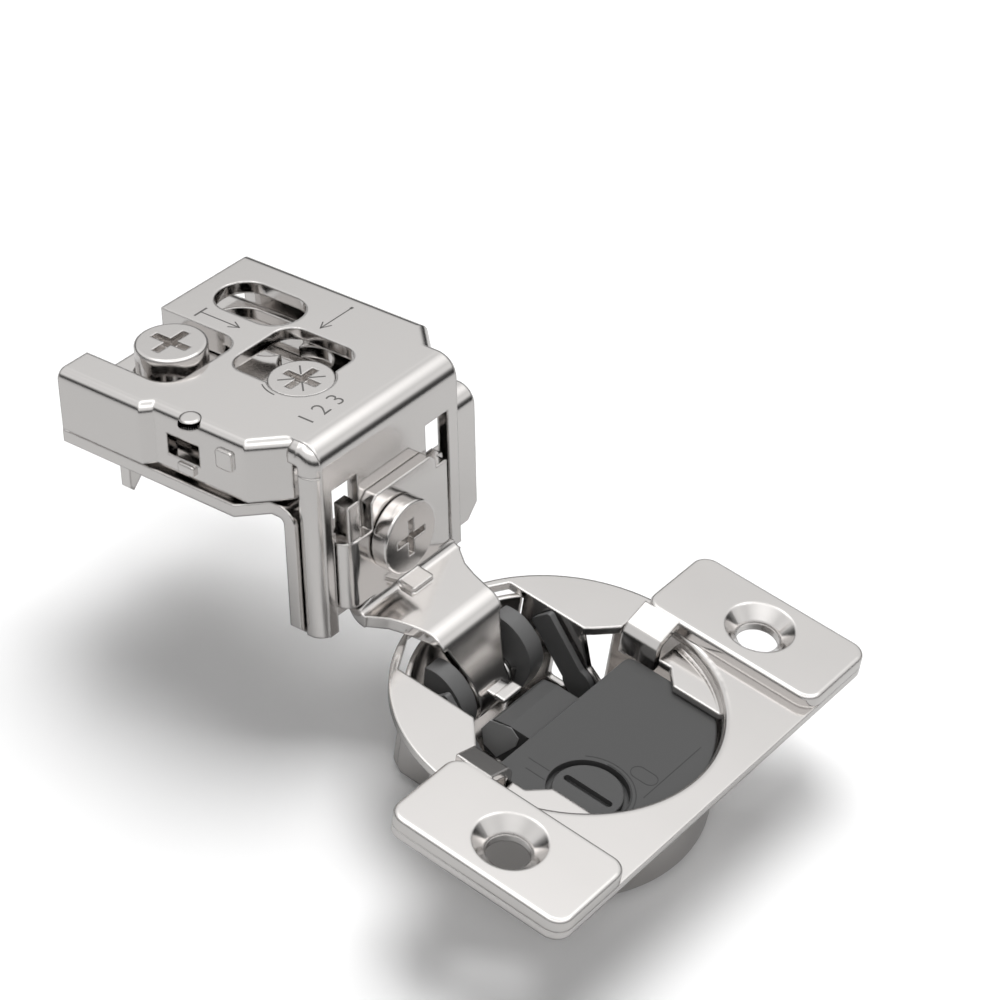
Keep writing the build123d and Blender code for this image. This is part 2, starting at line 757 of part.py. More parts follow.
# Round nut riveted in the base plate, standing just under the slide plate
nut_top = -slide_drop - sheet - slide_gap
with BuildPart() as clamp_nut:
    with BuildSketch(on_bracket(Plane.XY.offset(nut_top))):
        with Locations((-clamp_x, clamp_y)):
            Circle(clamp_nut_r)
    extrude(amount=-(base_top + nut_top))
    with BuildSketch(on_bracket(Plane.XY.offset(-base_top))):
        with Locations((-clamp_x, clamp_y)):
            Circle(clamp_rivet_r)
    extrude(amount=-sheet)
    with BuildSketch(on_bracket(Plane.XY.offset(nut_top))):
        with Locations((-clamp_x, clamp_y)):
            Circle(clamp_shank_r + running_gap)
    extrude(amount=-base_top, mode=Mode.SUBTRACT)
save(clamp_nut, "clamp_nut")

# Clamp screw: tall head in the notch, shank through the slide plate into the nut
clamp_head_base = -slide_drop + slide_gap
clamp_tip = -base_top - sheet + clamp_tip_gap
with BuildPart() as clamp_screw:
    with BuildSketch(on_bracket(Plane.XY.offset(clamp_head_base))):
        with Locations((-clamp_x, clamp_y)):
            Circle(clamp_head_r)
    extrude(amount=clamp_head_top - clamp_head_base)
    fillet(clamp_screw.faces().sort_by(bracket_up)[-1].edges(), 0.35)
    with BuildSketch(on_bracket(Plane.XY.offset(clamp_head_top))):
        with Locations((-clamp_x, clamp_y)):
            cross_shape(5.0)
    extrude(amount=-1.4, mode=Mode.SUBTRACT)
    with BuildSketch(on_bracket(Plane.XY.offset(clamp_head_base))):
        with Locations((-clamp_x, clamp_y)):
            Circle(clamp_shank_r)
    extrude(amount=clamp_tip - clamp_head_base)
save(clamp_screw, "clamp_screw")

# Height screw: disc in the top plate's hole, flange under the plate, eccentric pin in the slide plate
with BuildPart() as height_cam:
    with BuildSketch(on_bracket(Plane.XY.offset(-sheet - slide_gap))):
        with Locations((-cam_x, cam_y)):
            Circle(cam_head_r)
    extrude(amount=sheet)
    fillet(height_cam.faces().sort_by(bracket_up)[-1].edges(), 0.15)
    with BuildSketch(on_bracket(Plane.XY.offset(-slide_gap))):
        with Locations((-cam_x, cam_y)):
            cross_shape(4.6)
    extrude(amount=-1.1, mode=Mode.SUBTRACT)
    with BuildSketch(on_bracket(Plane.XY.offset(-sheet - slide_gap))):
        with Locations((-cam_x, cam_y)):
            Circle(cam_flange_r)
    extrude(amount=-cam_flange_t)
    with BuildSketch(on_bracket(Plane.XY.offset(-sheet - slide_gap - cam_flange_t))):
        with Locations((-cam_x - cam_offset, cam_y)):
            Circle(cam_pin_r)
    extrude(amount=-(slide_drop - cam_flange_t - slide_gap))
save(height_cam, "height_cam")

# Base plate: seat on the frame's edge and leg on the frame's face
base_mid = -base_top - sheet / 2
leg_join_x = base_leg_x + base_bend_r + 1.0
with BuildPart() as base_plate:
    with BuildSketch(on_bracket(Plane.XZ.offset(-base_leg_y[0]))):
        with BuildLine():
            FilletPolyline(
                (-leg_join_x - 0.8, base_mid),
                (-base_leg_x - sheet / 2, base_mid),
                (-base_leg_x - sheet / 2, -base_leg_len),
                radius=base_bend_r - sheet / 2,
            )
        trace(line_width=sheet)
    extrude(amount=base_leg_y[0] - base_leg_y[1])
    chamfer(base_plate.edges().filter_by(bracket_forward).sort_by(bracket_up)[:2], base_corner)
    with BuildSketch(on_bracket(Plane.XY.offset(-base_top))):
        Polygon(
            (-base_len, base_half),
            (-base_neck_x, base_half),
            (-base_neck_x + base_corner, base_leg_y[1]),
            (-leg_join_x, base_leg_y[1]),
            (-leg_join_x, base_leg_y[0]),
            (-base_neck_x, -base_half),
            (-base_len, -base_half),
            align=None,
        )
    extrude(amount=-sheet)
    # Hooks under the rear corners
    for side in (-1, 1):
        with BuildSketch(on_bracket(Plane.YZ.offset(-25.6))):
            Polygon(
                (side * 15.4, -base_top - sheet),
                (side * 15.4, -12.3),
                (side * 14.9, -12.8),
                (side * 12.6, -10.6),
                (side * 12.2, -base_top - sheet),
                align=None,
            )
        extrude(amount=1.3)
    # Windows through the bend, behind those of the bracket's leg
    with BuildSketch(on_bracket(Plane.YZ)):
        for low_y, high_y in ((-7.8, -1.6), (8.2, 13.2)):
            with Locations(((low_y + high_y) / 2, -base_top - 3.0)):
                Rectangle(high_y - low_y, 5.4)
    extrude(amount=-leg_join_x - 0.8, mode=Mode.SUBTRACT)
    with BuildSketch(on_bracket(Plane.XY.offset(-base_top))):
        with Locations((-25.0, 7.4)):
            SlotOverall(9.0, 4.6)
        with Locations((-frame_screw_x, frame_screw_y)):
            Circle(frame_screw_r)
        with Locations((-clamp_x, clamp_y)):
            Circle(clamp_rivet_r)
    extrude(amount=-sheet, mode=Mode.SUBTRACT)
save(base_plate, "base_plate")
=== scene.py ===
"""Looks, light and camera for a concealed cup hinge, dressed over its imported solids."""

import json
import logging
import math
from dataclasses import dataclass
from enum import Enum

import bmesh
import bpy
from mathutils import Matrix, Vector


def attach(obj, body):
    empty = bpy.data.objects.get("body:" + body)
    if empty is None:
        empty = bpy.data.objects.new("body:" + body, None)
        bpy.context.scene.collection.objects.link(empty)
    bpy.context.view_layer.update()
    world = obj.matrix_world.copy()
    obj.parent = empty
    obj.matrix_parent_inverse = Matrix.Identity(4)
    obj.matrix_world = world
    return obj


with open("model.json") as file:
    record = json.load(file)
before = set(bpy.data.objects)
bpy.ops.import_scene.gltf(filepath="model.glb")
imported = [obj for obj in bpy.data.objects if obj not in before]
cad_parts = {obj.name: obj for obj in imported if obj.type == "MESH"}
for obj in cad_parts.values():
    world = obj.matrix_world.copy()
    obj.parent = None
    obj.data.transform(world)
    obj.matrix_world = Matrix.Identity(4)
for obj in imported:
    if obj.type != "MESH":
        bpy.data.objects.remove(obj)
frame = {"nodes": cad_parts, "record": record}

log = logging.getLogger("hinge")
MM = 0.001
WHITE = (1.0, 1.0, 1.0, 1.0)
MeshPart = bmesh.types.BMVert | bmesh.types.BMEdge | bmesh.types.BMFace


class Slot(Enum):
    """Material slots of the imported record."""

    SHEET = "plated_sheet"
    HARDWARE = "plated_hardware"
    SPRING = "spring_steel"
    DARK = "dark_plastic"
    SWITCH = "switch_plastic"
    ROD = "rod_steel"


class ShaderKit:
    """Small helpers to lay out shader nodes."""

    def __init__(self, tree: bpy.types.NodeTree) -> None:
        """Keep the tree that the nodes go into."""
        self.tree = tree

    def add(self, kind: str, **settings: object) -> bpy.types.Node:
        """Add a node and set its properties and inputs.

        Args:
            kind: Blender's name of the node type.
            settings: Properties by name, and input values by socket name.

        Returns:
            The new node.
        """
        node = self.tree.nodes.new(kind)
        for name, value in settings.items():
            if hasattr(node, name):
                setattr(node, name, value)
            else:
                node.inputs[name.replace("_", " ")].default_value = value
        return node

    def link(self, source: bpy.types.NodeSocket, target: bpy.types.NodeSocket) -> None:
        """Link two sockets."""
        self.tree.links.new(source, target)


def grey(tone: float) -> tuple[float, float, float]:
    """A neutral colour of one tone."""
    return (tone, tone, tone)


def grain_group() -> bpy.types.NodeTree:
    """Build the shared group for the fine unevenness of a plated or moulded surface.

    Returns:
        A node group that puts out a tone, a roughness and a height.
    """
    tree = bpy.data.node_groups.new("surface_grain", "ShaderNodeTree")
    for name in ("Scale", "Tone spread", "Roughness", "Roughness spread"):
        tree.interface.new_socket(name, in_out="INPUT", socket_type="NodeSocketFloat")
    for name in ("Tone", "Roughness", "Height"):
        tree.interface.new_socket(name, in_out="OUTPUT", socket_type="NodeSocketFloat")
    kit = ShaderKit(tree)
    given = kit.add("NodeGroupInput")
    out = kit.add("NodeGroupOutput")
    place = kit.add("ShaderNodeTexCoord")
    fine = kit.add("ShaderNodeTexNoise", Detail=3.0)
    broad = kit.add("ShaderNodeTexNoise", Scale=90.0, Detail=2.0)
    kit.link(place.outputs["Object"], fine.inputs["Vector"])
    kit.link(place.outputs["Object"], broad.inputs["Vector"])
    kit.link(given.outputs["Scale"], fine.inputs["Scale"])
    shift = kit.add("ShaderNodeMath", operation="SUBTRACT")
    shift.inputs[1].default_value = 0.5
    kit.link(broad.outputs["Fac"], shift.inputs[0])
    tone = kit.add("ShaderNodeMath", operation="MULTIPLY_ADD")
    tone.inputs[2].default_value = 1.0
    kit.link(shift.outputs[0], tone.inputs[0])
    kit.link(given.outputs["Tone spread"], tone.inputs[1])
    rough = kit.add("ShaderNodeMath", operation="MULTIPLY_ADD", use_clamp=True)
    kit.link(shift.outputs[0], rough.inputs[0])
    kit.link(given.outputs["Roughness spread"], rough.inputs[1])
    kit.link(given.outputs["Roughness"], rough.inputs[2])
    kit.link(tone.outputs[0], out.inputs["Tone"])
    kit.link(rough.outputs[0], out.inputs["Roughness"])
    kit.link(fine.outputs["Fac"], out.inputs["Height"])
    return tree


@dataclass(frozen=True)
class Finish:
    """One finish: its colour, shine and grain, and how far it softens sharp edges."""

    name: str
    colour: tuple[float, float, float]
    metallic: float
    roughness: float
    grain_scale: float = 900.0
    tone_spread: float = 0.05
    roughness_spread: float = 0.08
    bump: float = 0.02
    edge_mm: float = 0.0
    specular: float = 0.5

    def build(self, grain: bpy.types.NodeTree) -> bpy.types.Material:
        """Make the finish's material.

        Args:
            grain: The shared grain group.

        Returns:
            The material.
        """
        material = bpy.data.materials.new(self.name)
        material.use_nodes = True
        tree = material.node_tree
        tree.nodes.clear()
        kit = ShaderKit(tree)
        out = kit.add("ShaderNodeOutputMaterial")
        shader = kit.add("ShaderNodeBsdfPrincipled", Metallic=self.metallic)
        shader.inputs["Specular IOR Level"].default_value = self.specular
        uneven = kit.add("ShaderNodeGroup")
        uneven.node_tree = grain
        uneven.inputs["Scale"].default_value = self.grain_scale
        uneven.inputs["Tone spread"].default_value = self.tone_spread
        uneven.inputs["Roughness"].default_value = self.roughness
        uneven.inputs["Roughness spread"].default_value = self.roughness_spread
        paint = kit.add("ShaderNodeMix", data_type="RGBA", blend_type="MULTIPLY")
        paint.inputs["Factor"].default_value = 1.0
        paint.inputs[6].default_value = (*self.colour, 1.0)
        kit.link(uneven.outputs["Tone"], paint.inputs[7])
        kit.link(paint.outputs[2], shader.inputs["Base Color"])
        kit.link(uneven.outputs["Roughness"], shader.inputs["Roughness"])
        bump = kit.add("ShaderNodeBump", Strength=self.bump, Distance=0.0001)
        kit.link(uneven.outputs["Height"], bump.inputs["Height"])
        if self.edge_mm:
            edge = kit.add("ShaderNodeBevel", samples=6, Radius=self.edge_mm * MM)
            kit.link(edge.outputs["Normal"], bump.inputs["Normal"])
        kit.link(bump.outputs["Normal"], shader.inputs["Normal"])
        kit.link(shader.outputs["BSDF"], out.inputs["Surface"])
        return material


class Finishes:
    """All finishes of the hinge, by slot, and those of its marks."""

    def __init__(self) -> None:
        """Build every material once."""
        grain = grain_group()
        nickel = (0.70, 0.68, 0.665)
        listed = {
            Slot.SHEET: Finish("bright_nickel_sheet", nickel, 1.0, 0.13, edge_mm=0.4),
            Slot.HARDWARE: Finish("bright_nickel_turned", nickel, 1.0, 0.17, edge_mm=0.25),
            Slot.SPRING: Finish("spring_wire", (0.55, 0.54, 0.53), 1.0, 0.25),
            Slot.DARK: Finish("moulded_dark_grey", grey(0.058), 0.0, 0.42, edge_mm=0.2, specular=0.35),
            Slot.SWITCH: Finish("switch_dark_grey", grey(0.06), 0.0, 0.4, edge_mm=0.15, specular=0.35),
            Slot.ROD: Finish("ground_rod", grey(0.6), 1.0, 0.2),
        }
        self.by_slot = {slot: finish.build(grain) for slot, finish in listed.items()}
        # Painted shade: a darker nickel for the pressed marks and the screw's rays, standing in for the shade in
        # their grooves.
        self.painted_groove_shade = Finish("pressed_groove_painted_shade", (0.22, 0.215, 0.21), 1.0, 0.3).build(grain)
        # Painted shade: a darker grey than the cover for its moulded lines, standing in for the shade in them.
        self.moulded_line_painted_shade = Finish("moulded_line_painted_shade", grey(0.018), 0.0, 0.5).build(grain)
        # Painted light: a lighter copy of the dark plastic for the cam cheeks and closing levers, lifting the shade
        # they sit in inside the cup.
        self.painted_light_plastic = Finish("painted_light_dark_grey", grey(0.1), 0.0, 0.4, edge_mm=0.2, specular=0.4).build(grain)
        # Painted light: a lighter grey for the plunger's near side, where the front light falls.
        self.painted_light_grey = Finish("painted_light_grey", grey(0.34), 0.0, 0.4).build(grain)

    def dress_nodes(self) -> None:
        """Give each CAD node its slot's finish; the cam cheeks and closing levers get a lighter copy of the dark
        plastic, painted light.
        """
        for row in frame["record"]["subparts"]:
            slot = Slot(row["material_slot"])
            # Cam cheeks and closing levers take the lighter copy: painted light against their shade.
            gets_painted_light = row["node"].startswith(("cam_cheek", "closing_lever"))
            worn = frame["nodes"][row["node"]].data.materials
            worn.clear()
            worn.append(self.painted_light_plastic if gets_painted_light else self.by_slot[slot])
            log.info("%s wears %s", row["node"], slot.value)


class Place(Enum):
    """Frames that a piece can be built in, by their place in the hinge's frame, in millimetres."""

    HINGE = Matrix.Identity(4)
    BRACKET = Matrix.Translation((-27.83, 0.0, 24.872)) @ Matrix.Rotation(math.radians(-9.916), 4, "Y")


class Piece:
    """A new piece that is put together in one mesh, in millimetres, and then placed."""

    ARC_STEP_DEGREES = 7
    ARC_FEWEST_STEPS = 6
    BEND_STEPS = 12
    ROUND_SIDES = 32
    BAR_EDGE_SHARE = 0.25
    PLATE_EDGE_SHARE = 0.6
    STROKE_OFFSET_SHARE = -0.012

    def __init__(self, name: str) -> None:
        """Start with an empty mesh."""
        self.name = name
        self.shape = bmesh.new()

    def soften(self, made: list[bmesh.types.BMVert], edge: float, steps: int) -> None:
        """Round all edges of a solid that was just added.

        Args:
            made: Its corners.
            edge: Width of the rounding.
            steps: Steps across the rounding.
        """
        lines = {line for vert in made for line in vert.link_edges}
        bmesh.ops.bevel(self.shape, geom=list(lines), offset=edge, segments=steps, profile=0.5,
                        affect="EDGES", material=-1)

    def pull(self, face: bmesh.types.BMFace, by: tuple[float, float, float]) -> list[MeshPart]:
        """Pull a face out into a solid.

        Args:
            face: The face.
            by: How far it is pulled.

        Returns:
            All that was pulled: the new corners, edges and face.
        """
        pulled = bmesh.ops.extrude_face_region(self.shape, geom=[face])["geom"]
        corners = [part for part in pulled if isinstance(part, bmesh.types.BMVert)]
        bmesh.ops.translate(self.shape, verts=corners, vec=by)
        return pulled

    def bar(self, start: tuple[float, float], end: tuple[float, float], z: float, width: float,
            height: float) -> None:
        """Add a bar with rounded edges on a plane of constant z.

        Args:
            start: Its first end.
            end: Its other end.
            z: Height of its underside.
            width: Its width.
            height: Its height.
        """
        ahead = Vector((end[0] - start[0], end[1] - start[1], 0.0))
        place = Matrix.Translation(((start[0] + end[0]) / 2, (start[1] + end[1]) / 2, z + height / 2))
        turn = Matrix.Rotation(math.atan2(ahead.y, ahead.x), 4, "Z")
        size = Matrix.Diagonal((ahead.length + width, width, height, 1.0))
        made = bmesh.ops.create_cube(self.shape, size=1.0, matrix=place @ turn @ size)["verts"]
        self.soften(made, min(width, height) * self.BAR_EDGE_SHARE, 2)

    def line(self, points: list[tuple[float, float]], z: float, width: float, height: float) -> None:
        """Add bars from each point to the next."""
        for start, end in zip(points, points[1:]):
            self.bar(start, end, z, width, height)

    def arc(self, centre: tuple[float, float], radius: float, start: float, sweep: float, z: float,
            width: float, height: float) -> None:
        """Add part of a ring with a rectangular section by spinning it round its centre.

        Args:
            centre: Centre of the arc.
            radius: Its middle radius.
            start: Where it starts, in degrees from +x.
            sweep: How far it goes, in degrees.
            z: Height of its underside.
            width: Its width.
            height: Its height.
        """
        angle = math.radians(start)
        out = Vector((math.cos(angle), math.sin(angle), 0.0))
        middle = Vector((centre[0], centre[1], z))
        corners = [middle + out * (radius + side * width / 2) + Vector((0, 0, rise * height))
                   for side, rise in ((-1, 0), (1, 0), (1, 1), (-1, 1))]
        verts = [self.shape.verts.new(corner) for corner in corners]
        face = self.shape.faces.new(verts)
        steps = max(self.ARC_FEWEST_STEPS, round(sweep / self.ARC_STEP_DEGREES))
        bmesh.ops.spin(self.shape, geom=[face, *face.edges, *verts], cent=middle, axis=(0, 0, 1),
                       angle=math.radians(sweep), steps=steps)

    def knob(self, foot: tuple[float, float, float], radii: tuple[float, float], height: float,
             edge: float) -> None:
        """Add an upright round stud with softened edges.

        Args:
            foot: Middle of its foot.
            radii: Radius at the foot and at the top.
            height: Its height.
            edge: Width of the rounding.
        """
        place = Matrix.Translation((foot[0], foot[1], foot[2] + height / 2))
        made = bmesh.ops.create_cone(self.shape, cap_ends=True, segments=self.ROUND_SIDES, radius1=radii[0],
                                     radius2=radii[1], depth=height, matrix=place)["verts"]
        self.soften(made, edge, 2)

    def block(self, centre: tuple[float, float, float], size: tuple[float, float, float], edge: float) -> None:
        """Add a block with rounded edges."""
        place = Matrix.Translation(centre) @ Matrix.Diagonal((*size, 1.0))
        made = bmesh.ops.create_cube(self.shape, size=1.0, matrix=place)["verts"]
        self.soften(made, edge, 3)

    def plate(self, outline: tuple[tuple[float, float], ...], y: float, thickness: float) -> None:
        """Add an upright plate with bevelled edges.

        Args:
            outline: Its outline, x and z.
            y: Where its far face lies.
            thickness: How far it stands towards the near side.
        """
        face = self.shape.faces.new([self.shape.verts.new((x, y, z)) for x, z in outline])
        near = self.pull(face, (0, -thickness, 0))
        rim = [part for part in near if isinstance(part, bmesh.types.BMEdge)]
        bmesh.ops.bevel(self.shape, geom=rim, offset=thickness * self.PLATE_EDGE_SHARE, segments=2, profile=0.5,
                        affect="EDGES", material=-1)

    def corner(self, section: list[tuple[float, float]], foot: float, radius: float, run: float) -> None:
        """Add a folded strip: up from its foot, round a quarter bend and on to the rear.

        Args:
            section: Outline of the strip seen from above, x and y.
            foot: Height of its foot.
            radius: Outer radius of the bend; its axis lies that far behind and below x = z = 0.
            run: Length behind the bend.
        """
        face = self.shape.faces.new([self.shape.verts.new((x, y, foot)) for x, y in section])
        up = self.pull(face, (0, 0, -radius - foot))
        bent = bmesh.ops.spin(self.shape, geom=up, cent=(-radius, 0, -radius), axis=(0, -1, 0),
                              angle=math.radians(90), steps=self.BEND_STEPS)["geom_last"]
        self.pull(next(part for part in bent if isinstance(part, bmesh.types.BMFace)), (-run, 0, 0))

    def text(self, body: str, size: float, place: Matrix, height: float) -> None:
        """Add a plain number as flat, slightly raised strokes.

        Args:
            body: The number.
            size: Size of the type in millimetres.
            place: Where it stands: x along the line, y up the figures.
            height: How far it stands up.
        """
        curve = bpy.data.curves.new("figures", "FONT")
        curve.body = body
        curve.size = size
        curve.align_x = "CENTER"
        curve.align_y = "CENTER"
        curve.extrude = height / 2
        curve.offset = self.STROKE_OFFSET_SHARE * size
        holder = bpy.data.objects.new("figures", curve)
        bpy.context.scene.collection.objects.link(holder)
        bpy.context.view_layer.update()
        mesh = bpy.data.meshes.new_from_object(holder)
        mesh.transform(place)
        self.shape.from_mesh(mesh)
        bpy.data.objects.remove(holder)
        bpy.data.curves.remove(curve)
        bpy.data.meshes.remove(mesh)

    def finish(self, body: str, slot: Slot, material: bpy.types.Material, place: Place) -> None:
        """Close the mesh, bring it to its place in metres and let it ride on its body.

        Args:
            body: The body it rides on.
            slot: The material slot of its finish; not used.
            material: Its material.
            place: The frame it was built in.
        """
        bmesh.ops.recalc_face_normals(self.shape, faces=self.shape.faces)
        bmesh.ops.transform(self.shape, matrix=Matrix.Scale(MM, 4) @ place.value, verts=self.shape.verts)
        mesh = bpy.data.meshes.new(self.name)
        self.shape.to_mesh(mesh)
        self.shape.free()
        mesh.materials.append(material)
        piece = bpy.data.objects.new(self.name, mesh)
        bpy.context.scene.collection.objects.link(piece)
        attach(piece, body)
        log.info("%s rides on %s", self.name, body)


@dataclass
class TopPlateMarks:
    """Pressed arrows, index arc and figures on the bracket's top plate, in a darker colour as painted shade of their
    grooves.
    """

    finishes: Finishes
    width: float = 0.16
    depth: float = 0.03
    sink: float = 0.012
    depth_arrow: tuple[float, float] = (-28.8, -23.1)
    depth_arrow_y: float = 2.1
    height_arrow: tuple[float, float] = (12.6, 7.3)
    height_arrow_x: float = -15.8
    head: float = 1.1
    head_half: float = 0.6
    tail_half: float = 0.9
    tail_width: float = 0.256
    dot_width: float = 0.352
    dot_length: float = 0.05
    index_centre: tuple[float, float] = (-10.8, -1.7)
    index_radius: float = 4.35
    index_start: float = -125.0
    index_sweep: float = 34.0
    figures: str = "1 2 3"
    figures_place: tuple[float, float, float] = (-4.9, -5.3, 0.0)
    figures_size: float = 3.1

    def build(self) -> None:
        """Press the marks into the plate."""
        marks = Piece("top_plate_marks")
        start, end = self.depth_arrow
        y = self.depth_arrow_y
        back, half = end - self.head, self.head_half
        marks.line([(start, y), (end, y)], -self.sink, self.width, self.depth)
        marks.line([(back, y + half), (end, y), (back, y - half)], -self.sink, self.width, self.depth)
        marks.bar((start, y - self.tail_half), (start, y + self.tail_half), -self.sink, self.tail_width, self.depth)
        start, end = self.height_arrow
        x = self.height_arrow_x
        back = end + self.head
        marks.line([(x, start), (x, end)], -self.sink, self.width, self.depth)
        marks.line([(x - half, back), (x, end), (x + half, back)], -self.sink, self.width, self.depth)
        marks.bar((x, start), (x, start + self.dot_length), -self.sink, self.dot_width, self.depth)
        marks.arc(self.index_centre, self.index_radius, self.index_start, self.index_sweep, -self.sink,
                  self.width, self.depth)
        place = Matrix.Translation(self.figures_place) @ Matrix.Rotation(math.radians(90), 4, "Z")
        marks.text(self.figures, self.figures_size, place, self.depth)
        marks.finish("bracket", Slot.SHEET, self.finishes.painted_groove_shade, Place.BRACKET)


@dataclass
class HeightCamStar:
    """Thin rays between the arms of the height screw's cross, in a darker colour as painted shade of their grooves.
    """

    finishes: Finishes
    centre: tuple[float, float] = (-10.8, -1.7)
    radii: tuple[float, float] = (0.9, 2.5)
    foot: float = -0.11
    width: float = 0.2
    depth: float = 0.03

    def build(self) -> None:
        """Cut the four rays."""
        rays = Piece("height_cam_rays")
        x, y = self.centre
        for degrees in (45, 135, 225, 315):
            ahead_x, ahead_y = math.cos(math.radians(degrees)), math.sin(math.radians(degrees))
            start, end = ((x + ahead_x * radius, y + ahead_y * radius) for radius in self.radii)
            rays.bar(start, end, self.foot, self.width, self.depth)
        rays.finish("height_cam", Slot.HARDWARE, self.finishes.painted_groove_shade, Place.BRACKET)


@dataclass
class CoverMarks:
    """Lines moulded in the damper's cover and the two switch positions, darker than the cover as painted shade."""

    finishes: Finishes
    foot: float = -1.515
    width: float = 0.1
    height: float = 0.03
    front_line: tuple[tuple[float, float], ...] = ((13.75, -4.2), (13.75, 6.2))
    side_lines: tuple[tuple[tuple[float, float], ...], ...] = (((1.5, -8.2), (4.2, -8.2)), ((2.2, -9.6), (4.6, -9.6)))
    knob: tuple[float, float] = (8.9, -7.6)
    knob_arcs: tuple[tuple[float, float, float, float], ...] = ((5.1, -20, 150, 0.12), (4.62, 5, 95, 0.22))
    ring: tuple[float, float] = (11.9, -1.6)
    ring_half: float = 0.7
    ring_radius: float = 0.9

    def build(self) -> None:
        """Lay the thin lines on the cover."""
        marks = Piece("cover_lines")
        marks.bar(*self.front_line, self.foot, self.width, self.height)
        for radius, start, sweep, width in self.knob_arcs:
            marks.arc(self.knob, radius, start, sweep, self.foot, width, self.height)
        for ends in self.side_lines:
            marks.bar(*ends, self.foot, self.width, self.height)
        x, y = self.ring
        for side in (-1, 1):
            edge_y = y + side * self.ring_radius
            marks.bar((x - self.ring_half, edge_y), (x + self.ring_half, edge_y), self.foot, self.width, self.height)
            marks.arc((x + side * self.ring_half, y), self.ring_radius, -90 * side, 180, self.foot,
                      self.width, self.height)
        marks.finish("cup", Slot.DARK, self.finishes.moulded_line_painted_shade, Place.HINGE)


@dataclass
class BracketStuds:
    """Small pressed studs of the bracket: a bump at the near fold and a peg below the window."""

    finishes: Finishes
    bump_foot: tuple[float, float, float] = (-15.0, -14.75, -0.9)
    bump_radii: tuple[float, float] = (1.45, 1.2)
    bump_height: float = 1.1
    bump_round: float = 0.25
    peg_middle: tuple[float, float, float] = (-15.5, -15.35, -6.3)
    peg_size: tuple[float, float, float] = (2.3, 0.7, 1.3)
    peg_round: float = 0.25

    def build(self) -> None:
        """Press the studs."""
        sheet = self.finishes.by_slot[Slot.SHEET]
        bump = Piece("fold_bump")
        bump.knob(self.bump_foot, self.bump_radii, self.bump_height, self.bump_round)
        bump.finish("bracket", Slot.SHEET, sheet, Place.BRACKET)
        peg = Piece("skirt_peg")
        peg.block(self.peg_middle, self.peg_size, self.peg_round)
        peg.finish("bracket", Slot.SHEET, sheet, Place.BRACKET)


@dataclass
class FoldCorners:
    """The leg's side flanges, carried on round the fold to the top plate."""

    finishes: Finishes
    half: float = 12.4
    sheet: float = 1.5
    outer_round: float = 1.85
    round_steps: int = 8
    flange: float = 2.4
    foot: float = -3.65
    bend: float = 2.6
    run: float = 1.1
    sink: float = 0.012

    def section(self, side: int) -> list[tuple[float, float]]:
        """Outline of one flange, seen from above: its rounded outside, its end and its inside."""
        start = self.half - self.outer_round
        points = []
        for step in range(self.round_steps + 1):
            angle = math.radians(90 * step / self.round_steps)
            points.append((-self.outer_round - self.sink + self.outer_round * math.cos(angle),
                           start + self.outer_round * math.sin(angle)))
        inside = self.half - self.sheet
        points += [(-self.flange, self.half), (-self.flange, inside), (-self.sheet, inside), (-self.sheet, start)]
        return [(x, side * y) for x, y in points]

    def build(self) -> None:
        """Fold both corners."""
        for name, side in (("fold_corner_near", -1), ("fold_corner_far", 1)):
            strip = Piece(name)
            strip.corner(self.section(side), self.foot, self.bend, self.run)
            strip.finish("bracket", Slot.SHEET, self.finishes.by_slot[Slot.SHEET], Place.BRACKET)


@dataclass
class PlungerPaintedLight:
    """Thin lighter plate on the near side of the damper's plunger: painted light where the front light falls on that
    side.
    """

    finishes: Finishes
    side_y: float = -4.38
    thickness: float = 0.11
    outline: tuple[tuple[float, float], ...] = (
        (-7.2, -5.8), (-6.3, -4.0), (-3.5, -3.25), (-2.4, -4.1), (-2.6, -5.4), (-4.8, -8.6), (-6.7, -7.8))

    def build(self) -> None:
        """Lay the painted-light plate on the plunger's side."""
        lit_plate = Piece("plunger_painted_light")
        lit_plate.plate(self.outline, self.side_y, self.thickness)
        lit_plate.finish("plunger", Slot.DARK, self.finishes.painted_light_grey, Place.HINGE)


@dataclass
class EyeTab:
    """Small bright tab in front of the arm's eye, on a short neck."""

    finishes: Finishes
    tab_middle: tuple[float, float, float] = (-7.5, 0.15, -3.8)
    tab_size: tuple[float, float, float] = (1.4, 3.2, 0.6)
    tab_round: float = 0.12
    neck_middle: tuple[float, float, float] = (-8.85, 0.15, -4.2)
    neck_size: tuple[float, float, float] = (1.5, 2.6, 0.5)
    neck_round: float = 0.1

    def build(self) -> None:
        """Make the tab and its neck."""
        tab = Piece("eye_tab")
        tab.block(self.tab_middle, self.tab_size, self.tab_round)
        tab.block(self.neck_middle, self.neck_size, self.neck_round)
        tab.finish("arm", Slot.SHEET, self.finishes.by_slot[Slot.SHEET], Place.HINGE)


@dataclass(frozen=True)
class Softbox:
    """One area lamp that faces the hinge: its place and size in metres and its power in watts."""

    name: str
    place: tuple[float, float, float]
    size: tuple[float, float]
    power: float
    aim: tuple[float, float, float] = (-0.01, 0.0, 0.0)

    def hang(self) -> None:
        """Hang the lamp, unseen in the metal."""
        data = bpy.data.lights.new(self.name, "AREA")
        data.shape = "RECTANGLE"
        data.size, data.size_y = self.size
        data.energy = self.power
        lamp = bpy.data.objects.new(self.name, data)
        bpy.context.scene.collection.objects.link(lamp)
        ahead = Vector(self.aim) - Vector(self.place)
        lamp.rotation_euler = ahead.to_track_quat("-Z", "Y").to_euler()
        lamp.location = self.place
        lamp.visible_glossy = False


